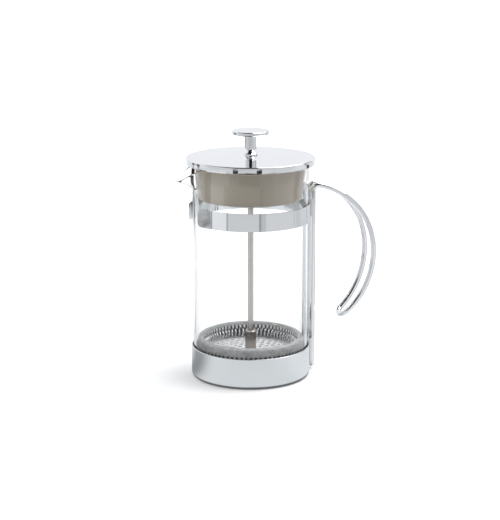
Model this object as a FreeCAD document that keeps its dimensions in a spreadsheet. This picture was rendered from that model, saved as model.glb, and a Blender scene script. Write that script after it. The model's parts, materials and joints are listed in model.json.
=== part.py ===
# French press: a glass beaker held in a steel frame, with a plunger that slides through its lid.
# Millimetres. +Z is up, the origin is the centre of the base cup's flat bottom, +X runs to the
# handle and -X to the spout.
import FreeCAD, Part
import math
import os

import Sketcher

SIZES = {
    # clearances: faces that meet, threads, sliding fits, and pressings nested in each other
    "seat_gap": 0.02,
    "nut_gap": 0.01,
    "thread_gap": 0.03,
    "slip_gap": 0.05,
    "nest_gap": 0.1,
    # base cup and the cushion inside it
    "cup_radius": 49.5,
    "cup_height": 25.7,
    "cup_wall": 0.8,
    "cup_corner": 3.0,
    "cup_lip": 0.35,
    "pad_outer": 44.0,
    "pad_inner": 24.0,
    "pad_top": 3.9,
    "pad_rib": 0.6,
    "pad_rib_width": 6.0,
    "pad_chamfer": 1.0,
    # glass beaker
    "glass_radius": 48.0,
    "glass_wall": 2.0,
    "glass_bottom": 4.0,
    "glass_floor": 3.0,
    "glass_rim": 178.6,
    "glass_corner": 8.0,
    "glass_inner_corner": 6.0,
    "spout_wall": 1.6,
    "spout_clear": 6.0,
    # upper band
    "band_inner": 48.3,
    "band_wall": 0.8,
    "band_low": 131.7,
    "band_height": 14.6,
    "band_gap_half": 30.0,
    "band_tab": 13.6,
    "band_tab_bend": 0.5,
    "band_tab_corner": 4.0,
    "band_tab_root": 0.6,
    # handle
    "wire_radius": 2.3,
    "wire_reach": 53.2,
    "wire_half_gap": 4.3,
    "wire_splay": 6.1,
    "wire_foot": 2.5,
    "bend_radius": 4.6,
    "grip_reach": 106.3,
    "grip_level": 99.6,
    "grip_upper": 60.0,
    "grip_lower": 69.2,
    "grip_sweep": 46.5,
    "saddle_width": 8.0,
    "saddle_start": 44.0,
    "saddle_height": 10.0,
    "upper_saddle_low": 133.5,
    "lower_saddle_low": 8.0,
    # lid
    "lid_radius": 53.0,
    "lid_wall": 0.8,
    "lid_rim_low": 179.1,
    "lid_edge": 184.3,
    "lid_crown": 186.0,
    "lid_round": 0.7,
    "lid_middle": 26.5,
    "lid_middle_drop": 0.35,
    "insert_top_radius": 45.4,
    "insert_radius": 42.7,
    "insert_wall": 2.0,
    "insert_low": 150.7,
    "insert_taper_low": 152.5,
    "insert_taper_high": 176.0,
    "insert_seat": 178.7,
    "insert_flange": 50.2,
    "insert_plate": 2.0,
    "insert_rim": 0.6,
    "boss_radius": 7.5,
    "boss_low": 166.0,
    "shank_radius": 4.0,
    "shank_low": 160.4,
    "shank_chamfer": 0.4,
    "bush_radius": 5.75,
    "bush_flange": 1.0,
    "bush_shoulder": 0.7,
    "bush_taper": 1.4,
    "bush_tip": 0.5,
    "bush_tip_height": 0.8,
    "bush_top": 190.4,
    "washer_radius": 8.0,
    "washer_thick": 0.8,
    "nut_flats": 12.0,
    "nut_height": 3.6,
    "nut_chamfer": 0.9,
    "nut_chamfer_height": 0.8,
    # plunger
    "rod_radius": 2.4,
    "rod_clearance": 0.05,
    "stud_radius": 2.0,
    "stud_low": 13.8,
    "rod_low": 21.0,
    "rod_high": 192.0,
    "stud_high": 200.5,
    "stud_chamfer": 0.5,
    "rod_shoulder": 0.4,
    "knob_radius": 15.4,
    "knob_top": 206.4,
    "knob_thick": 3.3,
    "knob_round": 0.8,
    "knob_crown": 0.2,
    "knob_flat": 8.5,
    "knob_spigot": 3.0,
    "knob_spigot_height": 1.6,
    "stem_radius": 4.9,
    "stem_low": 190.6,
    "stem_chamfer": 0.4,
    "hub_radius": 4.65,
    "hub_low": 20.15,
    "hub_height": 17.2,
    "hub_flange": 0.5,
    "hub_chamfer": 0.7,
    "plate_radius": 42.6,
    "plate_low": 19.3,
    "plate_thick": 0.8,
    "plate_hole": 1.6,
    "coil_reach": 39.9,
    "coil_radius": 3.5,
    "coil_wire": 0.45,
    "coil_level": 24.3,
    "coil_turns": 72,
    "screen_radius": 44.3,
    "screen_wall": 0.35,
    "screen_low": 18.9,
    "screen_roll": 2.5,
    "screen_roll_level": 31.0,
    "cross_radius": 40.0,
    "cross_low": 17.9,
    "cross_thick": 0.9,
    "cross_hub": 11.0,
    "cross_rim": 4.0,
    "cross_arm": 9.0,
    "cross_arms": 6,
    "foot_nut_flats": 9.0,
    "foot_nut_low": 13.3,
}

# The spout, station by station outwards from the axis: reach, level of its edge, half width of
# its opening at that edge, and depth of the trough.
SPOUT = [
    (44.5, 178.6, 18.0, 18.0),
    (48.5, 177.2, 15.6, 16.4),
    (52.0, 175.0, 12.2, 12.6),
    (56.0, 172.4, 8.4, 8.0),
    (60.0, 169.4, 5.0, 4.6),
    (62.6, 167.2, 3.2, 2.8),
]
SPOUT_FIELDS = ("reach", "edge", "half", "depth")

# Rings of drain holes in the spiral plate: radius of the ring and number of holes.
DRAIN_RINGS = [(12.0, 12), (17.2, 18), (22.4, 24), (27.6, 30), (32.8, 36)]

doc = FreeCAD.newDocument("french_press")
sheet = doc.addObject("Spreadsheet::Sheet", "Sizes")
finished = []


def fill_sheet():
    cells = dict(SIZES)
    for number, station in enumerate(SPOUT, 1):
        for field, value in zip(SPOUT_FIELDS, station):
            cells[f"spout_{field}_{number}"] = value
    for number, (radius, count) in enumerate(DRAIN_RINGS, 1):
        cells[f"drain_ring_{number}"] = radius
        cells[f"drain_count_{number}"] = count
    for row, (alias, value) in enumerate(cells.items(), 1):
        sheet.set(f"A{row}", alias)
        sheet.set(f"B{row}", str(value))
        sheet.setAlias(f"B{row}", alias)
    doc.recompute()


def formula(words):
    """Turn 'glass_radius - glass_wall' into an expression on the sheet."""
    text = ""
    word = ""
    for letter in words + " ":
        if letter.isalnum() or letter == "_":
            word += letter
            continue
        known = word in SIZES or word.startswith(("spout_", "drain_"))
        text += ("Sizes." + word) if known else word
        text += letter
        word = ""
    return text.strip()


def size(words):
    return float(sheet.evalExpression(formula(words)))


def new_body(name):
    body = doc.addObject("PartDesign::Body", name)
    body.Label = name
    finished.append(body)
    return body


def origin_plane(body, role):
    return next(item for item in body.Origin.OriginFeatures if item.Role == role)


def new_sketch(body, name, role="XZ_Plane", offset=None):
    sketch = body.newObject("Sketcher::SketchObject", name)
    sketch.AttachmentSupport = (origin_plane(body, role), [""])
    sketch.MapMode = "FlatFace"
    if offset:
        sketch.setExpression("AttachmentOffset.Base.z", formula(offset))
    return sketch


def pin_point(sketch, edge, end, across, along):
    """Hold one end of an edge at a formula's distance from the sketch's origin."""
    for kind, words in (("DistanceX", across), ("DistanceY", along)):
        number = sketch.addConstraint(Sketcher.Constraint(kind, -1, 1, edge, end, size(words)))
        sketch.setExpression(f"Constraints[{number}]", formula(words))


def polygon(sketch, corners):
    """Closed outline of straight edges, each corner a pair of formulas."""
    points = [FreeCAD.Vector(size(across), size(along), 0) for across, along in corners]
    first = sketch.GeometryCount
    count = len(points)
    for index in range(count):
        sketch.addGeometry(Part.LineSegment(points[index], points[(index + 1) % count]), False)
    for index in range(count):
        here = first + index
        after = first + (index + 1) % count
        sketch.addConstraint(Sketcher.Constraint("Coincident", here, 2, after, 1))
    for index, (across, along) in enumerate(corners):
        pin_point(sketch, first + index, 1, across, along)


def circle(sketch, radius, across="0", along="0"):
    centre = FreeCAD.Vector(size(across), size(along), 0)
    edge = sketch.addGeometry(Part.Circle(centre, FreeCAD.Vector(0, 0, 1), size(radius)), False)
    pin_point(sketch, edge, 3, across, along)
    number = sketch.addConstraint(Sketcher.Constraint("Radius", edge, size(radius)))
    sketch.setExpression(f"Constraints[{number}]", formula(radius))


def revolve(body, name, corners, cut=False):
    """Turn an outline of (radius, level) corners about the body's vertical axis."""
    sketch = new_sketch(body, name + "_outline")
    polygon(sketch, corners)
    kind = "PartDesign::Groove" if cut else "PartDesign::Revolution"
    feature = body.newObject(kind, name)
    feature.Profile = sketch
    feature.ReferenceAxis = (sketch, ["V_Axis"])
    feature.Angle = 360.0
    doc.recompute()
    return feature


def pad(body, name, sketch, length, cut=False):
    kind = "PartDesign::Pocket" if cut else "PartDesign::Pad"
    feature = body.newObject(kind, name)
    feature.Profile = sketch
    feature.setExpression("Length", formula(length))
    feature.Reversed = cut
    doc.recompute()
    return feature


def must_shrink(before, body):
    if not body.Shape.Volume < before:
        raise RuntimeError(f"{body.Label}: the cut missed the solid")


def round_edges(body, name, chosen, radius):
    """Fillet the edges of the body's tip that the test picks."""
    tip = body.Tip
    names = [f"Edge{n}" for n, edge in enumerate(tip.Shape.Edges, 1) if chosen(edge)]
    if not names:
        raise RuntimeError(f"{body.Label}: no edge to round for {name}")
    fillet = body.newObject("PartDesign::Fillet", name)
    fillet.Base = (tip, names)
    fillet.setExpression("Radius", formula(radius))
    doc.recompute()
    return fillet


def is_ring(edge, radius, level):
    """True for a full circle about the vertical axis with this radius, at this level."""
    if not isinstance(edge.Curve, Part.Circle):
        return False
    centre = edge.Curve.Center
    near = math.hypot(centre.x, centre.y) < 0.01 and abs(centre.z - level) < 0.01
    return near and abs(edge.Curve.Radius - radius) < 0.01


def repeat_round(body, feature, count):
    pattern = body.newObject("PartDesign::PolarPattern", feature.Name + "_ring")
    pattern.Originals = [feature]
    pattern.Axis = (origin_plane(body, "Z_Axis"), [""])
    pattern.Angle = 360.0
    pattern.setExpression("Occurrences", formula(count))
    body.Tip = pattern
    doc.recompute()
    return pattern


def plain_feature(name, shape):
    feature = doc.addObject("Part::Feature", name)
    feature.Label = name
    feature.Shape = shape
    feature.Placement = FreeCAD.Placement()
    finished.append(feature)
    return feature


def make_base_cup():
    body = new_body("base_cup")
    inside = "cup_radius - cup_wall"
    revolve(body, "cup_shell", [
        ("0", "0"),
        ("cup_radius", "0"),
        ("cup_radius", "cup_height"),
        (inside, "cup_height"),
        (inside, "cup_wall"),
        ("0", "cup_wall"),
    ])
    outer = size("cup_radius")
    round_edges(body, "cup_corner_outside", lambda edge: is_ring(edge, outer, 0), "cup_corner")
    wall = size("cup_wall")
    round_edges(body, "cup_corner_inside", lambda edge: is_ring(edge, outer - wall, wall),
                "cup_corner - cup_wall")
    top = size("cup_height")
    round_edges(body, "cup_lip_round", lambda edge: is_ring(edge, outer, top), "cup_lip")


def make_base_cushion():
    body = new_body("base_cushion")
    revolve(body, "cushion", [
        ("pad_inner", "cup_wall + seat_gap"),
        ("pad_outer", "cup_wall + seat_gap"),
        ("pad_outer", "pad_top - pad_rib"),
        ("pad_outer - pad_chamfer", "pad_top"),
        ("pad_outer - pad_rib_width", "pad_top"),
        ("pad_outer - pad_rib_width - pad_chamfer", "pad_top - pad_rib"),
        ("pad_inner + pad_rib_width + pad_chamfer", "pad_top - pad_rib"),
        ("pad_inner + pad_rib_width", "pad_top"),
        ("pad_inner + pad_chamfer", "pad_top"),
        ("pad_inner", "pad_top - pad_rib"),
    ])


def tab_corner(side, along, inward):
    """Corner of a band tab: along its length from the crease, and inward through its wall."""
    turn = "(band_gap_half + band_tab_bend)"
    across = (f"-(band_inner + band_wall) * cos(band_gap_half) - ({along}) * sin{turn}"
              f" + ({inward}) * cos{turn}")
    away = (f"{side} * ((band_inner + band_wall) * sin(band_gap_half) - ({along}) * cos{turn}"
            f" - ({inward}) * sin{turn})")
    return across, away


def make_upper_band():
    body = new_body("upper_band")
    ring = new_sketch(body, "band_ring_outline", "XY_Plane", "band_low")
    circle(ring, "band_inner + band_wall")
    circle(ring, "band_inner")
    pad(body, "band_ring", ring, "band_height")
    before = body.Shape.Volume
    gap = new_sketch(body, "band_gap_outline", "XY_Plane", "band_low")
    polygon(gap, [
        ("0", "0"),
        ("-2 * band_inner * cos(band_gap_half)", "2 * band_inner * sin(band_gap_half)"),
        ("-2 * band_inner * cos(band_gap_half)", "-2 * band_inner * sin(band_gap_half)"),
    ])
    pad(body, "band_gap", gap, "band_height", cut=True)
    must_shrink(before, body)
    for side, name in (("1", "far"), ("-1", "near")):
        outline = new_sketch(body, f"band_tab_{name}_outline", "XY_Plane", "band_low")
        polygon(outline, [
            tab_corner(side, "-band_tab_root", "0"),
            tab_corner(side, "band_tab", "0"),
            tab_corner(side, "band_tab", "band_wall"),
            tab_corner(side, "-band_tab_root", "band_wall"),
        ])
        pad(body, f"band_tab_{name}", outline, "band_height")
    reach = max(-vertex.X for vertex in body.Shape.Vertexes) - size("band_wall")
    thick = size("band_wall")
    round_edges(body, "band_tab_round",
                lambda edge: abs(edge.Length - thick) < 0.05 and edge.CenterOfMass.x < -reach,
                "band_tab_corner")


def wire_plane(side):
    """The vertical plane of one side of the handle: a point on it and its outward direction."""
    splay = math.radians(size("wire_splay"))
    start = FreeCAD.Vector(size("wire_reach"), side * size("wire_half_gap"), 0)
    outward = FreeCAD.Vector(math.cos(splay), side * math.sin(splay), 0)
    return start, outward


def wire_side(side):
    """One side of the handle, from its foot up, over the top bend and round the grip."""
    start, outward = wire_plane(side)
    up = FreeCAD.Vector(0, 0, 1)
    reach = size("wire_reach")

    def place(radius, level):
        return start + outward * (radius - reach) + up * level

    upper = size("grip_upper")
    lower = size("grip_lower")
    level = size("grip_level")
    bend = size("bend_radius")
    middle = size("grip_reach") - upper
    bend_centre = reach + bend
    lean = math.asin((bend_centre - middle) / (upper - bend))
    bend_level = level + (upper - bend) * math.cos(lean)
    meet = (bend_centre + bend * math.sin(lean), bend_level + bend * math.cos(lean))
    half = (lean - math.pi / 2) / 2
    bend_top = (bend_centre + bend * math.sin(half), bend_level + bend * math.cos(half))
    grip_turn = (lean + math.pi / 2) / 2
    grip_middle = (middle + upper * math.sin(grip_turn), level + upper * math.cos(grip_turn))
    outermost = (size("grip_reach"), level)
    sweep = math.radians(size("grip_sweep"))
    low_middle = size("grip_reach") - lower
    low_half = (low_middle + lower * math.cos(sweep / 2), level - lower * math.sin(sweep / 2))
    low_end = (low_middle + lower * math.cos(sweep), level - lower * math.sin(sweep))
    edges = [
        Part.LineSegment(place(reach, size("wire_foot")), place(reach, bend_level)),
        Part.Arc(place(reach, bend_level), place(*bend_top), place(*meet)),
        Part.Arc(place(*meet), place(*grip_middle), place(*outermost)),
        Part.Arc(place(*outermost), place(*low_half), place(*low_end)),
    ]
    heading = outward * -math.sin(sweep) + up * -math.cos(sweep)
    return edges, place(*low_end), heading


def make_handle():
    near, near_end, near_heading = wire_side(-1)
    far, far_end, far_heading = wire_side(1)
    forward = (near_heading + far_heading).normalize()
    half_width = (far_end - near_end).Length / 2
    lean = near_heading.getAngle(forward)
    turn_radius = half_width / math.cos(lean)
    centre = (near_end + far_end) * 0.5 - forward * half_width * math.tan(lean)
    turn = Part.Arc(near_end, centre + forward * turn_radius, far_end)
    shapes = [edge.toShape() for edge in near + [turn] + far[::-1]]
    spine = Part.Wire(Part.__sortEdges__(shapes))
    foot = near[0].StartPoint
    section = Part.Wire([Part.Circle(foot, FreeCAD.Vector(0, 0, 1), size("wire_radius")).toShape()])
    sweep = Part.BRepOffsetAPI.MakePipeShell(spine)
    sweep.setTransitionMode(2)
    sweep.add(section)
    sweep.build()
    sweep.makeSolid()
    wire = sweep.shape()
    expected = math.pi * size("wire_radius") ** 2 * spine.Length
    if abs(wire.Volume / expected - 1) > 0.02:
        raise RuntimeError("handle: the rod's volume is not its section times its length")
    plain_feature("handle_rod", wire)


def make_saddle(name, low, against):
    """Block welded between the handle's two uprights and the wall that carries them."""
    block = doc.addObject("Part::Box", name + "_block")
    block.setExpression("Length", formula("wire_reach - saddle_start"))
    block.setExpression("Width", formula("saddle_width"))
    block.setExpression("Height", formula("saddle_height"))
    block.setExpression("Placement.Base.x", formula("saddle_start"))
    block.setExpression("Placement.Base.y", formula("-saddle_width / 2"))
    block.setExpression("Placement.Base.z", formula(low))
    tools = []
    wall = doc.addObject("Part::Cylinder", name + "_wall")
    wall.setExpression("Radius", formula(against + " + seat_gap"))
    wall.setExpression("Height", formula("glass_rim"))
    tools.append(wall)
    for side in ("1", "-1"):
        upright = doc.addObject("Part::Cylinder", f"{name}_upright_{len(tools)}")
        upright.setExpression("Radius", formula("wire_radius + seat_gap"))
        upright.setExpression("Height", formula("glass_rim"))
        upright.setExpression("Placement.Base.x", formula("wire_reach"))
        upright.setExpression("Placement.Base.y", formula(side + " * wire_half_gap"))
        tools.append(upright)
    hollow = doc.addObject("Part::MultiFuse", name + "_hollow")
    hollow.Shapes = tools
    saddle = doc.addObject("Part::Cut", name)
    saddle.Base = block
    saddle.Tool = hollow
    saddle.Label = name
    finished.append(saddle)
    doc.recompute()


def spout_section(body, number, cut):
    """Cross-section of the spout at one station: a trough, or the channel inside it."""
    kind = "channel" if cut else "trough"
    sketch = new_sketch(body, f"spout_{kind}_{number}", "YZ_Plane", f"-spout_reach_{number}")
    wall = "spout_wall" if cut else "0"
    half = f"(spout_half_{number} - {wall})"
    depth = f"(spout_depth_{number} - {wall})"
    edge = f"spout_edge_{number}"
    lift = "spout_clear" if cut else "0"
    radius = f"({half} * {half} + {depth} * {depth}) / (2 * {depth})"
    centre = f"{edge} - {depth} + {radius}"
    centre_level = size(centre)
    across = size(half)
    level = size(edge)
    start = math.atan2(level - centre_level, -across) % (2 * math.pi)
    stop = math.atan2(level - centre_level, across) % (2 * math.pi)
    if stop < start:
        stop += 2 * math.pi
    round_part = Part.Circle(FreeCAD.Vector(0, centre_level, 0), FreeCAD.Vector(0, 0, 1), size(radius))
    sketch.addGeometry(Part.ArcOfCircle(round_part, start, stop), False)
    top = [(half, edge), (half, f"{edge} + {lift}"), (f"-{half}", f"{edge} + {lift}"), (f"-{half}", edge)]
    corners = top if cut else [top[0], top[3]]
    points = [FreeCAD.Vector(size(x), size(z), 0) for x, z in corners]
    for index in range(len(points) - 1):
        sketch.addGeometry(Part.LineSegment(points[index], points[index + 1]), False)
        sketch.addConstraint(Sketcher.Constraint("Coincident", index, 2, index + 1, 1))
    sketch.addConstraint(Sketcher.Constraint("Coincident", len(points) - 1, 2, 0, 1))
    for index, (x, z) in enumerate(corners[1:], 1):
        pin_point(sketch, index, 2, x, z)
    pin_point(sketch, 1, 1, *corners[0])
    number = sketch.addConstraint(Sketcher.Constraint("DistanceY", -1, 1, 0, 3, centre_level))
    sketch.setExpression(f"Constraints[{number}]", formula(centre))
    return sketch


def make_spout(body, cut):
    sections = [spout_section(body, number, cut) for number in range(1, len(SPOUT) + 1)]
    kind = "PartDesign::SubtractiveLoft" if cut else "PartDesign::AdditiveLoft"
    loft = body.newObject(kind, "spout_channel" if cut else "spout_trough")
    loft.Profile = sections[0]
    loft.Sections = sections[1:]
    loft.Ruled = False
    doc.recompute()
    return loft


def make_glass():
    body = new_body("glass_beaker")
    revolve(body, "glass_block", [
        ("0", "glass_bottom"),
        ("glass_radius", "glass_bottom"),
        ("glass_radius", "glass_rim"),
        ("0", "glass_rim"),
    ])
    outer = size("glass_radius")
    bottom = size("glass_bottom")
    round_edges(body, "glass_corner_outside", lambda edge: is_ring(edge, outer, bottom), "glass_corner")
    make_spout(body, cut=False)
    before = body.Shape.Volume
    inside = "glass_radius - glass_wall"
    floor = "glass_bottom + glass_floor"
    revolve(body, "glass_hollow", [
        ("0", floor),
        (inside, floor),
        (inside, "glass_rim + spout_clear"),
        ("0", "glass_rim + spout_clear"),
    ], cut=True)
    must_shrink(before, body)
    inner = size(inside)
    floor_level = size(floor)
    round_edges(body, "glass_corner_inside", lambda edge: is_ring(edge, inner, floor_level),
                "glass_inner_corner")
    before = body.Shape.Volume
    make_spout(body, cut=True)
    must_shrink(before, body)


def make_lid_cover():
    body = new_body("lid_cover")
    outer = "lid_radius"
    inner = "lid_radius - lid_wall"
    hole = "shank_radius + slip_gap"
    revolve(body, "lid_shell", [
        (hole, "lid_crown"),
        (hole, "lid_crown - lid_wall"),
        ("lid_middle", "lid_crown - lid_wall - lid_middle_drop"),
        (inner, "lid_edge - lid_wall"),
        (inner, "lid_rim_low"),
        (outer, "lid_rim_low"),
        (outer, "lid_edge"),
        ("lid_middle", "lid_crown - lid_middle_drop"),
    ])
    radius = size("lid_radius")
    edge_level = size("lid_edge")
    round_edges(body, "lid_edge_round", lambda edge: is_ring(edge, radius, edge_level), "lid_round")


def make_lid_insert():
    body = new_body("lid_insert")
    plate_top = "lid_edge - lid_wall - nest_gap"
    crown = "lid_crown - lid_wall - nest_gap"
    revolve(body, "insert_shell", [
        ("shank_radius + slip_gap", "boss_low"),
        ("boss_radius", "boss_low"),
        ("boss_radius", f"{crown} - insert_plate"),
        ("insert_top_radius - insert_wall", f"{plate_top} - insert_plate"),
        ("insert_top_radius - insert_wall", "insert_taper_high"),
        ("insert_radius - insert_wall", "insert_taper_low"),
        ("insert_radius - insert_wall", "insert_low"),
        ("insert_radius", "insert_low"),
        ("insert_radius", "insert_taper_low"),
        ("insert_top_radius", "insert_taper_high"),
        ("insert_top_radius", "insert_seat"),
        ("insert_flange", "insert_seat"),
        ("insert_flange", plate_top),
        ("lid_middle", f"{crown} - lid_middle_drop - nest_gap"),
        ("shank_radius + slip_gap", crown),
    ])
    low = size("insert_low")
    radius = size("insert_radius")
    round_edges(body, "insert_rim_round", lambda edge: is_ring(edge, radius, low), "insert_rim")


def make_lid_bush():
    body = new_body("lid_bush")
    bore = "rod_radius + rod_clearance"
    seat = "lid_crown + seat_gap"
    shoulder = "bush_radius - bush_shoulder"
    revolve(body, "bush_turned", [
        (bore, "shank_low"),
        ("shank_radius - shank_chamfer", "shank_low"),
        ("shank_radius", "shank_low + shank_chamfer"),
        ("shank_radius", seat),
        ("bush_radius", seat),
        ("bush_radius", f"{seat} + bush_flange"),
        (shoulder, f"{seat} + bush_flange + bush_shoulder"),
        (f"{shoulder} - bush_taper", "bush_top - bush_tip_height"),
        (f"{shoulder} - bush_taper - bush_tip", "bush_top"),
        (bore, "bush_top"),
    ])


def make_lid_washer():
    body = new_body("lid_washer")
    revolve(body, "washer", [
        ("shank_radius + slip_gap", "boss_low - washer_thick"),
        ("washer_radius", "boss_low - washer_thick"),
        ("washer_radius", "boss_low - nut_gap"),
        ("shank_radius + slip_gap", "boss_low - nut_gap"),
    ])


def hexagon(sketch, flats):
    corner = f"({flats}) / 2 / cos(30)"
    polygon(sketch, [(f"{corner} * cos({60 * step})", f"{corner} * sin({60 * step})") for step in range(6)])


def make_hex_nut(name, flats, low, height, bore):
    body = new_body(name)
    outline = new_sketch(body, name + "_outline", "XY_Plane", low)
    hexagon(outline, flats)
    circle(outline, bore)
    pad(body, name + "_blank", outline, height)
    before = body.Shape.Volume
    corner = f"({flats}) / 2 / cos(30)"
    for end, level, inward in (("top", f"{low} + {height}", "-"), ("bottom", low, "+")):
        revolve(body, f"{name}_{end}_chamfer", [
            (f"{corner} - nut_chamfer", level),
            (f"{corner} + nut_chamfer", level),
            (f"{corner} + nut_chamfer", f"{level} {inward} 2 * nut_chamfer_height"),
        ], cut=True)
    must_shrink(before, body)


def make_rod():
    body = new_body("plunger_rod")
    revolve(body, "rod_turned", [
        ("0", "stud_low"),
        ("stud_radius - stud_chamfer", "stud_low"),
        ("stud_radius", "stud_low + stud_chamfer"),
        ("stud_radius", "rod_low"),
        ("rod_radius", "rod_low + rod_shoulder"),
        ("rod_radius", "rod_high"),
        ("stud_radius", "rod_high + rod_shoulder"),
        ("stud_radius", "stud_high - stud_chamfer"),
        ("stud_radius - stud_chamfer", "stud_high"),
        ("0", "stud_high"),
    ])


def make_knob_disc():
    body = new_body("knob_disc")
    under = "knob_top - knob_thick"
    revolve(body, "disc_turned", [
        ("0", "knob_top"),
        ("0", f"{under} - knob_spigot_height"),
        ("knob_spigot", f"{under} - knob_spigot_height"),
        ("knob_spigot", under),
        ("knob_radius", under),
        ("knob_radius", "knob_top - knob_crown"),
        ("knob_flat", "knob_top"),
    ])
    radius = size("knob_radius")
    for name, level in (("upper", size("knob_top - knob_crown")), ("lower", size(under))):
        round_edges(body, f"disc_{name}_round",
                    lambda edge, level=level: is_ring(edge, radius, level), "knob_round")


def make_knob_stem():
    body = new_body("knob_stem")
    top = "knob_top - knob_thick"
    socket = f"{top} - knob_spigot_height - nest_gap"
    revolve(body, "stem_turned", [
        ("rod_radius + rod_clearance", "stem_low"),
        ("stem_radius - stem_chamfer", "stem_low"),
        ("stem_radius", "stem_low + stem_chamfer"),
        ("stem_radius", top),
        ("knob_spigot + thread_gap", top),
        ("knob_spigot + thread_gap", socket),
        ("stud_radius + thread_gap", socket),
        ("stud_radius + thread_gap", "rod_high + rod_shoulder + nest_gap"),
        ("rod_radius + rod_clearance", "rod_high + nest_gap"),
    ])


def make_hub_nut():
    body = new_body("hub_nut")
    top = "hub_low + hub_height"
    revolve(body, "hub_turned", [
        ("stud_radius + thread_gap", "hub_low"),
        ("hub_radius + hub_flange", "hub_low"),
        ("hub_radius + hub_flange", "hub_low + hub_flange"),
        ("hub_radius", "hub_low + hub_flange + hub_chamfer"),
        ("hub_radius", f"{top} - hub_chamfer"),
        ("hub_radius - hub_chamfer", top),
        ("rod_radius + rod_clearance", top),
        ("rod_radius + rod_clearance", "rod_low"),
        ("stud_radius + thread_gap", "rod_low - nest_gap"),
    ])


def make_spiral_plate():
    body = new_body("spiral_plate")
    blank = new_sketch(body, "plate_outline", "XY_Plane", "plate_low")
    circle(blank, "plate_radius")
    circle(blank, "stud_radius + slip_gap")
    pad(body, "plate_blank", blank, "plate_thick")
    for number in range(1, len(DRAIN_RINGS) + 1):
        before = body.Shape.Volume
        hole = new_sketch(body, f"drain_outline_{number}", "XY_Plane", "plate_low")
        circle(hole, "plate_hole", f"drain_ring_{number}")
        first = pad(body, f"drain_{number}", hole, "plate_thick", cut=True)
        repeat_round(body, first, f"drain_count_{number}")
        must_shrink(before, body)


def make_coil_spring():
    """Turns of the coil that stands on the spiral plate's edge, each one ring of wire."""
    turns = int(size("coil_turns"))
    reach = size("coil_reach")
    level = size("coil_level")
    rings = []
    for turn in range(turns):
        angle = 2 * math.pi * turn / turns
        centre = FreeCAD.Vector(reach * math.cos(angle), reach * math.sin(angle), level)
        facing = FreeCAD.Vector(-math.sin(angle), math.cos(angle), 0)
        rings.append(Part.makeTorus(size("coil_radius"), size("coil_wire"), centre, facing))
    plain_feature("coil_spring", Part.makeCompound(rings))


def make_mesh_screen():
    """Woven screen: a flat disc, a straight wall and an edge rolled over the coil."""
    outer = size("screen_radius")
    wall = size("screen_wall")
    low = size("screen_low")
    roll = size("screen_roll")
    level = size("screen_roll_level")
    hole = size("stud_radius + slip_gap")
    middle = outer - roll

    def point(radius, height):
        return FreeCAD.Vector(radius, 0, height)

    edges = [
        Part.LineSegment(point(hole, low), point(outer, low)),
        Part.LineSegment(point(outer, low), point(outer, level)),
        Part.Arc(point(outer, level), point(middle, level + roll), point(middle - roll, level)),
        Part.LineSegment(point(middle - roll, level), point(middle - roll + wall, level)),
        Part.Arc(point(middle - roll + wall, level), point(middle, level + roll - wall),
                 point(outer - wall, level)),
        Part.LineSegment(point(outer - wall, level), point(outer - wall, low + wall)),
        Part.LineSegment(point(outer - wall, low + wall), point(hole, low + wall)),
        Part.LineSegment(point(hole, low + wall), point(hole, low)),
    ]
    face = Part.Face(Part.Wire([edge.toShape() for edge in edges]))
    plain_feature("mesh_screen", face.revolve(FreeCAD.Vector(), FreeCAD.Vector(0, 0, 1), 360))


def make_cross_plate():
    body = new_body("cross_plate")
    blank = new_sketch(body, "cross_outline", "XY_Plane", "cross_low")
    circle(blank, "cross_radius")
    circle(blank, "stud_radius + slip_gap")
    pad(body, "cross_blank", blank, "cross_thick")
    before = body.Shape.Volume
    window = new_sketch(body, "cross_window_outline", "XY_Plane", "cross_low")
    far = "(cross_radius - cross_rim)"
    half_turn = "(180 / cross_arms)"
    setback = f"(cross_arm / 2 / sin{half_turn})"
    polygon(window, [
        (f"{setback} + cross_hub * 0.5", f"-cross_hub * 0.5 * tan{half_turn}"),
        (f"{far} * cos({half_turn} * 0.72)", f"-{far} * sin({half_turn} * 0.72)"),
        (f"{far} * cos({half_turn} * 0.36)", f"-{far} * sin({half_turn} * 0.36)"),
        (far, "0"),
        (f"{far} * cos({half_turn} * 0.36)", f"{far} * sin({half_turn} * 0.36)"),
        (f"{far} * cos({half_turn} * 0.72)", f"{far} * sin({half_turn} * 0.72)"),
        (f"{setback} + cross_hub * 0.5", f"cross_hub * 0.5 * tan{half_turn}"),
    ])
    first = pad(body, "cross_window", window, "cross_thick", cut=True)
    repeat_round(body, first, "cross_arms")
    must_shrink(before, body)


def check_and_write():
    doc.recompute()
    for item in doc.Objects:
        if {"Invalid", "Error"} & set(item.State):
            raise RuntimeError(f"{item.Name} did not compute: {item.State}")
    os.makedirs("parts", exist_ok=True)
    for item in finished:
        shape = item.Shape
        if shape.isNull() or not shape.isValid():
            raise RuntimeError(f"{item.Label} has no valid shape")
    for item in finished:
        item.Shape.exportStep(f"parts/{item.Label}.step")
        box = item.Shape.BoundBox
        print(f"{item.Label:14s} {len(item.Shape.Solids):3d} solids {item.Shape.Volume:10.1f} mm3  "
              f"z {box.ZMin:.2f} to {box.ZMax:.2f}")


fill_sheet()
make_base_cup()
make_base_cushion()
make_upper_band()
make_handle()
make_saddle("upper_saddle", "upper_saddle_low", "band_inner + band_wall")
make_saddle("lower_saddle", "lower_saddle_low", "cup_radius")
make_glass()
make_lid_cover()
make_lid_insert()
make_lid_bush()
make_lid_washer()
make_hex_nut("lid_nut", "nut_flats", "boss_low - washer_thick - nut_height - nut_gap", "nut_height",
             "shank_radius + thread_gap")
make_rod()
make_knob_disc()
make_knob_stem()
make_hub_nut()
make_spiral_plate()
make_coil_spring()
make_mesh_screen()
make_cross_plate()
make_hex_nut("foot_nut", "foot_nut_flats", "foot_nut_low", "cross_low - foot_nut_low - nut_gap",
             "stud_radius + thread_gap")
check_and_write()
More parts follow.
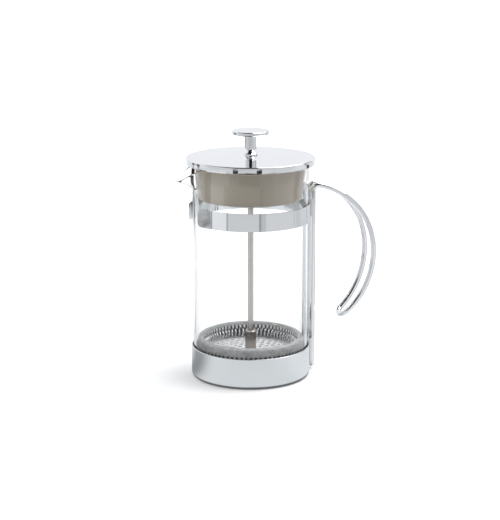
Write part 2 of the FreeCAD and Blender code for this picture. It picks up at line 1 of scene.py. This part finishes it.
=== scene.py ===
# French press: looks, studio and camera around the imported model. Metres, in the model's own frame.
import json
import math

import bpy
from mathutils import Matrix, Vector

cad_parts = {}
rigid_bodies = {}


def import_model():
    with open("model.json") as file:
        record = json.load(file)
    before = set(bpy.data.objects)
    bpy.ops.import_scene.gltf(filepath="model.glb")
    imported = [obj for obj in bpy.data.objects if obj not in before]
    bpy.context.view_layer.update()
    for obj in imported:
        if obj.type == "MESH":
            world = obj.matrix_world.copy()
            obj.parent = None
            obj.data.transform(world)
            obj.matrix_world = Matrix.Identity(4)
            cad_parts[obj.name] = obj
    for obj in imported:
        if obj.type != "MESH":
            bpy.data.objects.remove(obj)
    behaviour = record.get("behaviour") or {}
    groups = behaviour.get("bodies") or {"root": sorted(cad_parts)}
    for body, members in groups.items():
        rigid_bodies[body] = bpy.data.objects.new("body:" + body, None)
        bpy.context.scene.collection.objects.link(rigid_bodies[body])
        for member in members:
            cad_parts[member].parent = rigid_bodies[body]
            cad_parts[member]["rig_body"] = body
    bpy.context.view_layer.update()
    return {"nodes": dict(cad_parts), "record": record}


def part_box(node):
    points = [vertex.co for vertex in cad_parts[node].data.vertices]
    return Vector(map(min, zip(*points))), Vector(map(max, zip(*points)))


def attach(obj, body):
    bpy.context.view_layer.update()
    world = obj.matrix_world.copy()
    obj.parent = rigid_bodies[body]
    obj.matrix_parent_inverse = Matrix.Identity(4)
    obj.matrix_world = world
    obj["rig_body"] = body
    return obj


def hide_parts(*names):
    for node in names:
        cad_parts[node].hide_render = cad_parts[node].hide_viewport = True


MM = 0.001
TURN = 2 * math.pi

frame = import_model()

# the filter: turns of its coil, each with a pleat of the cloth, and the cloth's own sizes
COIL_TURNS = 72
SCREEN_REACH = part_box("mesh_screen")[1].x
WEAVE_PITCH = 0.9 * MM
PLEAT_DEPTH = 0.3 * MM
SKIRT_LOW = 28.3 * MM
TUCK_TOP = 26.8 * MM

# camera: it looks across the press with the handle turned away from it
VIEW_TURN = math.radians(-18.0)
VIEW_DROP = math.radians(13.4)
VIEW_DISTANCE = 1297.4 * MM
VIEW_LEVEL = 97.4 * MM
VIEW_ASIDE = 0.5 * MM
LENS = 108.0

# what the camera sees straight away
BACKDROP = 1.12
FLOOR_MATT = 0.85
FLOOR_LIFT = (0.12, 0.5)
FLOOR_GAP = 0.1 * MM
FLOOR_REACH = 9.0

# the dark of the room: how high its middle is over the camera's side, and its radius, in degrees,
# with its edge fading in between these two distances past the radius
CAMERA_SIDE = (54.0, 44.0)
OVERHEAD = (98.0, 40.0)
PATCH_EDGE = (3.0, -2.0)
OVERHEAD_SHARE = 0.86
DARKNESS = 0.985

# what shiny parts see as painted reflection beyond its rings, and the height the lamps aim at
PAINTED_REFLECTION_PLAIN = 0.8
LAMP_AIM = 100 * MM

FRONT = Vector((math.sin(VIEW_TURN), -math.cos(VIEW_TURN), 0.0))
RIGHT = Vector((math.cos(VIEW_TURN), math.sin(VIEW_TURN), 0.0))


def toward(rise):
    """Direction above the camera's side, at that many degrees over the horizon."""
    return FRONT * math.cos(math.radians(rise)) + Vector((0.0, 0.0, math.sin(math.radians(rise))))


# ---------------------------------------------------------------- nodes

class Nodes:
    """Short calls that build a node tree."""

    def __init__(self, tree):
        self.tree = tree
        self.tree.nodes.clear()

    def node(self, kind, **settings):
        made = self.tree.nodes.new("ShaderNode" + kind)
        for name, value in settings.items():
            setattr(made, name, value)
        return made

    def put(self, socket, value):
        if isinstance(value, bpy.types.NodeSocket):
            self.tree.links.new(value, socket)
        else:
            socket.default_value = value

    def fill(self, node, *values):
        for socket, value in zip(node.inputs, values):
            self.put(socket, value)
        return node.outputs[0]

    def place(self):
        return self.node("TexCoord").outputs["Object"]

    def apart(self, vector):
        split = self.node("SeparateXYZ")
        self.put(split.inputs[0], vector)
        return split.outputs

    def math(self, operation, *values):
        return self.fill(self.node("Math", operation=operation), *values)

    def scaled(self, vector, factors):
        return self.fill(self.node("VectorMath", operation="MULTIPLY"), vector, factors)

    def dot(self, vector, other):
        made = self.node("VectorMath", operation="DOT_PRODUCT")
        self.fill(made, vector, tuple(other))
        return made.outputs["Value"]

    def ramp(self, value, low, high, to_low=0.0, to_high=1.0):
        made = self.node("MapRange", interpolation_type="SMOOTHSTEP")
        return self.fill(made, value, low, high, to_low, to_high)

    def band(self, value, middle, half, soft):
        """1 within half of middle, falling to 0 over soft."""
        away = self.math("ABSOLUTE", self.math("SUBTRACT", value, middle))
        return self.ramp(away, half, half + soft, 1.0, 0.0)

    def lerp(self, share, first, second):
        made = self.node("Mix", data_type="FLOAT")
        for name, value in (("Factor_Float", share), ("A_Float", first), ("B_Float", second)):
            self.put(next(s for s in made.inputs if s.identifier == name), value)
        return next(s for s in made.outputs if s.identifier == "Result_Float")

    def noise(self, where, scale, detail=2.0, roughness=0.5):
        made = self.node("TexNoise")
        self.put(made.inputs["Vector"], where)
        made.inputs["Scale"].default_value = scale
        made.inputs["Detail"].default_value = detail
        made.inputs["Roughness"].default_value = roughness
        return made.outputs["Fac"]

    def mix(self, share, first, second):
        made = self.node("Mix", data_type="RGBA")
        for name, value in (("Factor_Float", share), ("A_Color", first), ("B_Color", second)):
            self.put(next(s for s in made.inputs if s.identifier == name), value)
        return next(s for s in made.outputs if s.identifier == "Result_Color")

    def bump(self, height, strength, distance):
        made = self.node("Bump")
        made.inputs["Strength"].default_value = strength
        made.inputs["Distance"].default_value = distance
        self.put(made.inputs["Height"], height)
        return made.outputs["Normal"]

    def around(self, where, reach=1.0):
        """(distance along a circle of that radius about the axis, height) of a point."""
        x, y, z = self.apart(where)
        return self.math("MULTIPLY", self.math("ARCTAN2", y, x), reach), z


class Shader(Nodes):
    def __init__(self, name):
        self.data = bpy.data.materials.new(name)
        self.data.use_nodes = True
        super().__init__(self.data.node_tree)

    def show(self, shader):
        self.put(self.node("OutputMaterial").inputs["Surface"], shader)
        return self.data

    def principled(self, colour, roughness, metallic=0.0, normal=None, **others):
        made = self.node("BsdfPrincipled")
        self.put(made.inputs["Base Color"], colour)
        self.put(made.inputs["Roughness"], roughness)
        made.inputs["Metallic"].default_value = metallic
        if normal is not None:
            self.put(made.inputs["Normal"], normal)
        for name, value in others.items():
            made.inputs[name.replace("_", " ")].default_value = value
        return made.outputs[0]


# ---------------------------------------------------------------- materials

def rgb(red, green, blue):
    return (red, green, blue, 1.0)


def chrome(name, bright, polish):
    """Plated metal: near-mirror, with faint smears in the polish and a trace of waviness."""
    s = Shader(name)
    where = s.place()
    smear = s.noise(where, 38.0, 3.0)
    dull = rgb(bright * 0.965, bright * 0.975, bright)
    tint = s.mix(smear, dull, rgb(bright, bright * 1.005, bright * 1.02))
    gloss = s.ramp(smear, 0.25, 0.8, polish, polish * 2.2)
    normal = s.bump(s.noise(where, 160.0, 1.0), 0.25, 0.00002)
    return s.show(s.principled(tint, gloss, 1.0, normal))


def brushed(name, colour, roughness, along, grain=0.00003):
    """Steel finished with fine lines: along holds how tightly the grain is packed on each axis."""
    s = Shader(name)
    reach, height = s.around(s.place(), 0.05)
    lines = s.node("CombineXYZ")
    s.put(lines.inputs[0], s.math("MULTIPLY", reach, along[0]))
    s.put(lines.inputs[2], s.math("MULTIPLY", height, along[1]))
    streak = s.noise(lines.outputs[0], 1.0, 4.0, 0.6)
    shade = s.mix(streak, rgb(*(c * 0.965 for c in colour)), rgb(*(min(c * 1.025, 1.0) for c in colour)))
    gloss = s.ramp(streak, 0.2, 0.8, roughness * 0.85, roughness * 1.2)
    return s.show(s.principled(shade, gloss, 1.0, s.bump(streak, 0.12, grain)))


def taupe_plastic():
    """Glossy moulded plastic with the faint ripple of its mould."""
    s = Shader("taupe_plastic")
    where = s.place()
    cloud = s.noise(where, 30.0, 2.0)
    colour = s.mix(cloud, rgb(0.435, 0.374, 0.298), rgb(0.46, 0.40, 0.322))
    gloss = s.ramp(cloud, 0.3, 0.7, 0.10, 0.16)
    normal = s.bump(s.noise(where, 90.0, 2.0), 0.15, 0.00004)
    return s.show(s.principled(colour, gloss, 0.0, normal, Coat_Weight=0.35, Coat_Roughness=0.05))


def rubber():
    s = Shader("black_rubber")
    grain = s.noise(s.place(), 900.0, 3.0)
    colour = s.mix(grain, rgb(0.018, 0.018, 0.020), rgb(0.035, 0.035, 0.037))
    return s.show(s.principled(colour, s.ramp(grain, 0.2, 0.8, 0.55, 0.8), 0.0, s.bump(grain, 0.4, 0.00008)))


def clear_glass():
    """Clear beaker glass with the slow waviness of blown ware; lamps shine through it."""
    s = Shader("clear_glass")
    ripple = s.noise(s.scaled(s.place(), (1.0, 1.0, 0.35)), 22.0, 1.0)
    glass = s.principled(rgb(0.985, 0.992, 0.995), 0.0, 0.0, s.bump(ripple, 0.25, 0.00012),
                         Transmission_Weight=1.0, IOR=1.45)
    path = s.node("LightPath")
    passes = s.math("MAXIMUM", path.outputs["Is Shadow Ray"], path.outputs["Is Diffuse Ray"])
    clear = s.node("BsdfTransparent")
    clear.inputs["Color"].default_value = rgb(0.98, 0.985, 0.985)
    both = s.node("MixShader")
    return s.show(s.fill(both, passes, glass, clear.outputs[0]))


def bright_sheet(name):
    """Rolled sheet with a cloudy shine."""
    s = Shader(name)
    smear = s.noise(s.place(), 420.0, 2.0)
    colour = s.mix(smear, rgb(0.84, 0.85, 0.86), rgb(0.98, 0.98, 0.98))
    return s.show(s.principled(colour, s.ramp(smear, 0.3, 0.7, 0.14, 0.3), 0.15, s.bump(smear, 0.3, 0.0001)))


def woven(name):
    """Fine square-woven wire cloth: warp and weft as height and colour, with painted shade in the valleys
    between its pleats and a painted highlight on the pleat ridges of its skirt.
    """
    s = Shader(name)
    where = s.place()
    reach, height = s.around(where, SCREEN_REACH)
    x, y, _ = s.apart(where)
    out = s.math("SQRT", s.math("ADD", s.math("MULTIPLY", x, x), s.math("MULTIPLY", y, y)))
    climb = s.math("ADD", height, out)
    pitch = TURN / WEAVE_PITCH
    warp = s.math("SINE", s.math("MULTIPLY", reach, pitch))
    weft = s.math("SINE", s.math("MULTIPLY", climb, pitch))
    weave = s.ramp(s.math("MULTIPLY", warp, weft), -0.7, 0.9)
    blotch = s.noise(where, 260.0, 3.0)
    share = s.math("MULTIPLY", weave, s.ramp(blotch, 0.2, 0.75, 0.35, 1.0))
    colour = s.mix(share, rgb(0.22, 0.22, 0.22), rgb(0.86, 0.86, 0.85))
    # pleats: painted shade in their valleys, and on the skirt a painted highlight on their ridges
    wave = s.math("COSINE", s.math("MULTIPLY", reach, COIL_TURNS / SCREEN_REACH))
    pleat_shade_share = s.ramp(wave, -0.6, 0.5, 1.0, 0.0)
    skirt = s.ramp(out, SCREEN_REACH - 3.4 * MM, SCREEN_REACH - 2.4 * MM, 1.0, 0.0)
    skirt = s.math("MULTIPLY", skirt, s.band(height, SKIRT_LOW + 1.0 * MM, 1.3 * MM, 0.7 * MM))
    # painted shade also in the pleat valleys at the foot of the wall
    tuck_shade_share = s.ramp(height, TUCK_TOP - 1.4 * MM, TUCK_TOP - 0.2 * MM, 1.0, 0.0)
    tuck_shade_share = s.math("MULTIPLY", tuck_shade_share, s.ramp(out, SCREEN_REACH - 1.0 * MM, SCREEN_REACH - 0.5 * MM))
    # near-black painted shade for the pleat valleys
    painted_pleat_shade = rgb(0.02, 0.02, 0.02)
    colour = s.mix(skirt, colour, s.mix(pleat_shade_share, rgb(0.95, 0.95, 0.95), painted_pleat_shade))
    colour = s.mix(s.math("MULTIPLY", pleat_shade_share, tuck_shade_share), colour, painted_pleat_shade)
    return s.show(s.principled(colour, s.ramp(blotch, 0.2, 0.8, 0.28, 0.5), 0.4,
                               s.bump(weave, 0.6, 0.00025)))


MATERIALS = {
    "satin_steel": brushed("satin_steel", (0.84, 0.865, 0.885), 0.24, (40.0, 14000.0), 0.00001),
    "black_rubber": rubber(),
    "polished_steel": chrome("polished_steel", 0.90, 0.03),
    "chrome_wire": chrome("chrome_wire", 0.90, 0.03),
    "clear_glass": clear_glass(),
    "mirror_chrome": chrome("mirror_chrome", 0.93, 0.02),
    "taupe_plastic": taupe_plastic(),
    "zinc_steel": brushed("zinc_steel", (0.62, 0.64, 0.66), 0.3, (900.0, 900.0)),
    "turned_chrome": brushed("turned_chrome", (0.86, 0.87, 0.88), 0.09, (60.0, 9000.0)),
    "drawn_steel": brushed("drawn_steel", (0.66, 0.63, 0.59), 0.2, (2500.0, 40.0)),
    "hub_chrome": brushed("hub_chrome", (0.36, 0.31, 0.28), 0.16, (2500.0, 60.0)),
    "plate_steel": bright_sheet("plate_steel"),
    "spring_steel": brushed("spring_steel", (0.86, 0.86, 0.86), 0.16, (900.0, 900.0)),
    "woven_steel": woven("woven_steel"),
}


# ---------------------------------------------------------------- pieces

def mesh_piece(name, points, faces, rounded=True):
    data = bpy.data.meshes.new(name)
    data.from_pydata(points, [], faces)
    data.validate()
    data.polygons.foreach_set("use_smooth", [rounded] * len(data.polygons))
    data.update()
    piece = bpy.data.objects.new(name, data)
    bpy.context.scene.collection.objects.link(piece)
    return piece


def join_frame(piece, node, slot):
    """The piece takes the place, body and finish of a CAD node."""
    body = frame["nodes"][node]["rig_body"]
    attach(piece, body)
    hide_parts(node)
    piece.data.materials.append(MATERIALS[slot])


def lathe(name, profile, columns, shift=None):
    """Turn (radius, level) points about the axis; shift may move each point."""
    points = []
    rings = []
    for radius, level in profile:
        if radius == 0.0:
            rings.append([len(points)])
            points.append(Vector((0.0, 0.0, level)))
            continue
        rings.append(list(range(len(points), len(points) + columns)))
        for column in range(columns):
            angle = TURN * column / columns
            point = Vector((radius * math.cos(angle), radius * math.sin(angle), level))
            points.append(shift(point, angle) if shift else point)
    faces = []
    for below, above in zip(rings, rings[1:]):
        for column in range(columns):
            after = (column + 1) % columns
            corners = [below[column % len(below)], below[after % len(below)],
                       above[after % len(above)], above[column % len(above)]]
            faces.append(list(dict.fromkeys(corners)))
    return mesh_piece(name, points, faces)


def arc(centre, radius, start, stop, steps):
    """Points of an arc in the (radius, level) plane, angles in degrees."""
    turns = [math.radians(start + (stop - start) * step / steps) for step in range(steps + 1)]
    return [(centre[0] + radius * math.cos(t), centre[1] + radius * math.sin(t)) for t in turns]


def levels(low, high, steps):
    return [low + (high - low) * step / steps for step in range(1, steps)]


def make_beaker():
    low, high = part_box("glass_beaker")
    outer = high.y
    wall = 2.0 * MM
    base = low.z
    rim_over_collar_foot = 27.9 * MM
    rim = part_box("lid_insert")[0].z + rim_over_collar_foot
    floor = base + 3.0 * MM
    outer_corner = 8.0 * MM
    inner_corner = outer_corner - wall
    inner = outer - wall
    lip = wall / 2
    spout_depth = 19.0 * MM
    spout_half = 18.0 * MM
    lip_loss = 0.6 * MM
    reach = -low.x - outer + lip_loss
    droop = 11.4 * MM
    top_rows = levels(rim - spout_depth, rim - lip, 18)
    profile = [(0.0, base), (outer * 0.5, base)]
    profile += arc((outer - outer_corner, base + outer_corner), outer_corner, -90, 0, 10)
    profile += [(outer, level) for level in levels(base + outer_corner, rim - spout_depth, 5)]
    profile += [(outer, level) for level in top_rows]
    profile += arc((outer - lip, rim - lip), lip, 0, 180, 8)
    profile += [(inner, level) for level in reversed(top_rows)]
    profile += [(inner, level) for level in reversed(levels(floor + inner_corner, rim - spout_depth, 5))]
    profile += arc((inner - inner_corner, floor + inner_corner), inner_corner, 0, -90, 8)
    profile += [(outer * 0.4, floor), (0.0, floor)]

    def pull_spout(point, angle):
        below = max(rim - point.z, 0.0) / spout_depth
        if below >= 1.0 or point.x > 0:
            return point
        side = abs(point.y) / (spout_half * math.sqrt(1.0 - below * below))
        if side >= 1.0:
            return point
        share = math.cos(math.pi / 2 * side) ** 2 * (1.0 - below)
        return point - Vector((reach * share, 0.0, droop * share ** 1.2))

    columns = 288
    piece = lathe("beaker_glass", profile, columns, pull_spout)
    join_frame(piece, "glass_beaker", "clear_glass")


def make_coil():
    """One wire wound round the filter's edge in a ring of turns."""
    low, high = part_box("coil_spring")
    wire = 0.45 * MM
    sides = 8
    around = (high.z - low.z) / 2 - wire
    centre = high.x - wire - around
    level = (high.z + low.z) / 2
    steps_a_turn = 16
    count = COIL_TURNS * steps_a_turn

    def along(index):
        share = TURN * index / count
        outward = Vector((math.cos(share), math.sin(share), 0.0))
        away = outward * math.cos(share * COIL_TURNS) + Vector((0, 0, math.sin(share * COIL_TURNS)))
        return outward * centre + Vector((0, 0, level)) + away * around, away

    points = []
    faces = []
    for index in range(count):
        middle, away = along(index)
        across = away.cross(along(index + 1)[0] - along(index - 1)[0]).normalized()
        here = index * sides
        there = (index + 1) % count * sides
        for side in range(sides):
            angle = TURN * side / sides
            points.append(middle + (away * math.cos(angle) + across * math.sin(angle)) * wire)
            after = (side + 1) % sides
            faces.append((here + side, there + side, there + after, here + after))
    join_frame(mesh_piece("coil_wire", points, faces), "coil_spring", "spring_steel")


def smooth(share):
    """Soft step from 0 to 1."""
    share = max(0.0, min(1.0, share))
    return share * share * (3.0 - 2.0 * share)


def make_screen():
    """Woven screen: flat disc, wall, and an edge rolled over the coil that ends in a pleated skirt."""
    low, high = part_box("mesh_screen")
    outer = high.x
    roll = 2.5 * MM
    wall = 0.35 * MM
    hole = 2.05 * MM
    level = high.z - roll
    middle = outer - roll
    edge = middle - roll
    profile = [(hole, low.z), (outer * 0.5, low.z), (outer - wall, low.z), (outer, low.z + wall)]
    profile += [(outer, height) for height in levels(low.z + wall, level, 6)]
    profile += arc((middle, level), roll, 0, 180, 14)
    profile += [(edge, height) for height in levels(level, SKIRT_LOW, 4)]
    profile += [(edge, SKIRT_LOW), (edge + wall, SKIRT_LOW)]
    profile += [(edge + wall, height) for height in levels(SKIRT_LOW, level, 4)]
    profile += arc((middle, level), roll - wall, 180, 0, 12)
    floor = low.z + wall
    profile += [(outer - wall, floor), (outer * 0.5, floor), (hole, floor), (hole, low.z)]

    def on_skirt(height, radius):
        return SKIRT_LOW <= height and radius < middle

    def fold(point, angle):
        """Pleats in the skirt and round the foot of the wall."""
        radius = math.hypot(point.x, point.y)
        hung = smooth((level + 0.6 * MM - point.z) / (1.2 * MM)) if on_skirt(point.z, radius) else 0.0
        outside = smooth((radius - outer + 1.0 * MM) / (0.5 * MM))
        tucked = smooth((TUCK_TOP - point.z) / (1.5 * MM)) * outside
        stretch = 1.0 + PLEAT_DEPTH * math.cos(COIL_TURNS * angle) * (hung + tucked) / radius
        return Vector((point.x * stretch, point.y * stretch, point.z))

    columns = 960
    piece = lathe("screen_cloth", profile, columns, fold)
    join_frame(piece, "mesh_screen", "woven_steel")


def dress_nodes():
    """Each CAD node that stays visible gets the material of its slot."""
    for part in frame["record"]["subparts"]:
        node = frame["nodes"][part["node"]]
        node.data.materials.clear()
        node.data.materials.append(MATERIALS[part["material_slot"]])


# ---------------------------------------------------------------- studio

def seen_by_reflection(nodes):
    """0 where a ray comes straight from the camera or through glass, 1 after it has bounced."""
    path = nodes.node("LightPath")
    bounces = nodes.math("SUBTRACT", path.outputs["Ray Depth"], path.outputs["Transmission Depth"])
    return nodes.math("MINIMUM", bounces, 1.0)


def heading(nodes, vector):
    """Direction about the upright axis, in degrees from the camera, growing to its right."""
    turn = nodes.math("ARCTAN2", nodes.dot(vector, RIGHT), nodes.dot(vector, FRONT))
    return nodes.math("MULTIPLY", turn, 180.0 / math.pi)


def round_patch(nodes, way, rise, radius):
    """1 in a round patch of the sky over the camera's side, its middle and radius in degrees."""
    outer, inner = (math.cos(math.radians(radius + soft)) for soft in PATCH_EDGE)
    return nodes.ramp(nodes.dot(way, toward(rise)), outer, inner)


def make_world():
    """White backdrop, bright sides and top, the dark of the room behind the camera, and a dark side screen.

    The camera sees the plain backdrop. Rays that leave through glass miss the dark of the room, and
    matt surfaces miss the part of it overhead.
    """
    world = bpy.data.worlds.new("studio")
    world.use_nodes = True
    n = Nodes(world.node_tree)
    way = n.node("TexCoord").outputs["Generated"]
    rise = n.math("MULTIPLY", n.math("ARCSINE", n.apart(way)[2]), 180.0 / math.pi)
    turn = heading(n, way)
    sides = n.ramp(n.math("ABSOLUTE", turn), 70.0, 125.0, 0.62, 0.93)
    top = n.ramp(rise, 46.0, 62.0, 0.0, 1.25)
    light = n.math("ADD", sides, top)
    path = n.node("LightPath")
    mirrored = n.math("SUBTRACT", 1.0, path.outputs["Is Diffuse Ray"])
    overhead = n.math("MULTIPLY", round_patch(n, way, *OVERHEAD), OVERHEAD_SHARE)
    dark = n.math("MAXIMUM", round_patch(n, way, *CAMERA_SIDE), n.math("MULTIPLY", mirrored, overhead))
    screen = n.math("MULTIPLY", n.band(turn, 124.0, 10.0, 8.0), n.ramp(rise, 20.0, 30.0, 0.6, 0.0))
    direct = n.math("SUBTRACT", 1.0, path.outputs["Is Transmission Ray"])
    shade = n.math("MAXIMUM", n.math("MULTIPLY", direct, dark), screen)
    studio = n.mix(shade, rgb(0.955, 0.97, 1.0), rgb(0.55, 0.55, 0.56))
    light = n.math("MULTIPLY", light, n.math("SUBTRACT", 1.0, n.math("MULTIPLY", shade, DARKNESS)))
    bounced = n.math("SUBTRACT", 1.0, path.outputs["Is Camera Ray"])
    colour = n.mix(bounced, rgb(1, 1, 1), studio)
    shown = n.math("ADD", BACKDROP, n.math("MULTIPLY", bounced, n.math("SUBTRACT", light, BACKDROP)))
    background = n.node("Background")
    n.fill(background, colour, shown)
    n.put(n.node("OutputWorld").inputs["Surface"], background.outputs[0])
    bpy.context.scene.world = world


PAINTED_MOSAIC = "pattern"

# the bright painted card on the side away from the camera, written from both ends of the turn
FAR_SIDE = ((180, 40, 20, 0.9), (-180, 40, 20, 0.9))
RIM_FAR_SIDE = ((180, 30, 10, 0.95), (-180, 30, 10, 0.95))

# Rings of painted reflection round the press, which the floor shows only to reflected rays (nearest,
# farthest and softness in metres, plain brightness), each with the painted cards that lie on it: direction
# from the camera, half width and softness in degrees, and brightness. A later card lies on an earlier one.
PAINTED_REFLECTION_RINGS = (
    # seen by the base cup, its lowest edge first: a dark ring, painted shadow of its contact with the floor
    (0.0, 0.053, 0.006, 0.12, ()),
    (0.053, 0.15, 0.006, 0.84, (
        (0, 60, 30, 0.78), (90, 12, 30, 0.86), (-96, 6, 32, 0.30),
        (180, 26, 10, 1.15), (-180, 26, 10, 1.15))),
    # seen by the glass and the handle
    (0.15, 0.63, 0.02, 0.90, (
        (0, 30, 20, 0.66), (130, 20, 8, 0.55), (-130, 20, 8, 0.6), (112, 6, 5, 0.04),
        (-112, 6, 5, 0.45), (180, 34, 12, 1.15), (-180, 34, 12, 1.15))),
    # seen by the band
    (0.63, 0.775, 0.01, 0.70, (
        (-62, 16, 1, 0.84), (-14, 29, 1, 0.66), (-44, 1.0, 1.0, 0.42), (18, 2.0, 0.8, 0.34),
        (24, 3, 3, 0.56), (90, 1.4, 1.0, 0.60), (101, 5, 3, 0.62), (136, 3, 3, 0.56),
        (-103, 26, 1, PAINTED_MOSAIC), (-156, 4, 3, 0.15), (-168, 4, 2, 0.1))),
    # seen by the plastic collar, low and high
    (0.775, 0.93, 0.01, 0.55, (
        (0, 42, 6, 0.35), (-74, 19, 3, 1.25), (-92, 7, 2, 0.05), (21, 2, 1, 0.05), *FAR_SIDE)),
    (0.93, 1.035, 0.02, 0.55, (
        (0, 42, 6, 0.35), (-64, 20, 3, 0.9), (-92, 8, 3, 0.0), (-2, 18, 3, 0.0), *FAR_SIDE)),
    # seen by the rim of the lid, low and high
    (1.035, 1.075, 0.005, 0.80, (
        (0, 70, 25, 0.70), (-9, 22, 1, 0.66), (-26, 4, 1, 0.0), (15, 4, 1, 0.0),
        (-104, 2.5, 1.0, 0.45), (-120, 2.5, 1.0, 0.5), (-112, 4, 1, 0.9), (120, 4, 1.5, 0.0),
        *RIM_FAR_SIDE)),
    (1.075, 4.0, 0.005, 0.80, (
        (0, 70, 25, 0.62), (-12, 22, 1, 0.56), (-31, 2, 1, 0.55), (16, 1.5, 1, 0.45),
        (-104, 3.5, 1.0, 0.0), (-120, 3.5, 1.0, 0.0), (-112, 4, 1, 0.5), (112, 3, 2, 0.4),
        *RIM_FAR_SIDE)),
)


def floor_material():
    """White surface for the camera; for reflected rays it glows with painted reflections of cards and dark
    edges, out of the picture.
    """
    s = Shader("studio_floor")
    where = s.node("NewGeometry").outputs["Position"]
    turn = heading(s, where)
    out = s.node("VectorMath", operation="LENGTH")
    s.put(out.inputs[0], where)
    reach = out.outputs["Value"]
    # painted reflection: a jumble of dark marks for the band's ring
    painted_mosaic_shade = s.ramp(s.noise(where, 90.0, 3.0, 0.7), 0.44, 0.56, 0.03, 0.75)
    shown = PAINTED_REFLECTION_PLAIN
    for near, far, soft, plain, cards in PAINTED_REFLECTION_RINGS:
        level = plain
        for aim, half, edge, brightness in cards:
            shade = painted_mosaic_shade if brightness == PAINTED_MOSAIC else brightness
            level = s.lerp(s.band(turn, aim, half, edge), level, shade)
        ring = s.band(reach, (near + far) / 2, (far - near - soft) / 2, soft)
        shown = s.lerp(ring, shown, level)
    # painted reflection: the floor glows with the rings and cards above, for reflected rays only
    painted_reflection_glow = s.node("Emission")
    s.fill(painted_reflection_glow, rgb(0.965, 0.985, 1.0), shown)
    white = s.node("BsdfDiffuse")
    white.inputs["Color"].default_value = rgb(*(FLOOR_MATT,) * 3)
    lift = s.node("Emission")
    s.fill(lift, rgb(1.0, 1.0, 1.0), s.ramp(reach, 0.25, 0.9, *FLOOR_LIFT))
    both = s.fill(s.node("AddShader"), white.outputs[0], lift.outputs[0])
    return s.show(s.fill(s.node("MixShader"), seen_by_reflection(s), both, painted_reflection_glow.outputs[0]))


def make_floor():
    far = FLOOR_REACH
    corners = [(-far, -far, 0), (far, -far, 0), (far, far, 0), (-far, far, 0)]
    floor = mesh_piece("studio_floor", corners, [(0, 1, 2, 3)], rounded=False)
    floor.location.z = -FLOOR_GAP
    floor.data.materials.append(floor_material())


def make_lamp(name, turn, rise, distance, size, power, mirrored):
    """Soft lamp aimed at the press: turn (to the camera's right) and rise in degrees.

    Shiny parts show it only if it is mirrored.
    """
    data = bpy.data.lights.new(name, "AREA")
    data.shape = "SQUARE"
    data.size = size
    data.energy = power
    lamp = bpy.data.objects.new(name, data)
    turn, rise = math.radians(turn), math.radians(rise)
    flat = FRONT * math.cos(turn) + RIGHT * math.sin(turn)
    away = flat * math.cos(rise) + Vector((0, 0, math.sin(rise)))
    lamp.location = Vector((0, 0, LAMP_AIM)) + away * distance
    lamp.rotation_euler = (-away).to_track_quat("-Z", "Y").to_euler()
    lamp.visible_camera = False
    lamp.visible_glossy = mirrored
    bpy.context.scene.collection.objects.link(lamp)


def make_camera():
    data = bpy.data.cameras.new("camera")
    data.lens = LENS
    camera = bpy.data.objects.new("camera", data)
    bpy.context.scene.collection.objects.link(camera)
    forward = -FRONT * math.cos(VIEW_DROP) - Vector((0, 0, math.sin(VIEW_DROP)))
    target = Vector((0, 0, VIEW_LEVEL)) - RIGHT * VIEW_ASIDE
    camera.location = target - forward * VIEW_DISTANCE
    camera.rotation_euler = forward.to_track_quat("-Z", "Y").to_euler()
    data.clip_start = 0.05
    data.clip_end = 60.0
    bpy.context.scene.camera = camera


make_camera()
make_world()
make_floor()
make_lamp("key", turn=98.0, rise=60.0, distance=1.5, size=1.3, power=21.0, mirrored=True)
make_lamp("fill", turn=-40.0, rise=52.0, distance=1.4, size=0.8, power=6.0, mirrored=False)
dress_nodes()
make_beaker()
make_coil()
make_screen()
bpy.context.scene.view_settings.view_transform = "Standard"
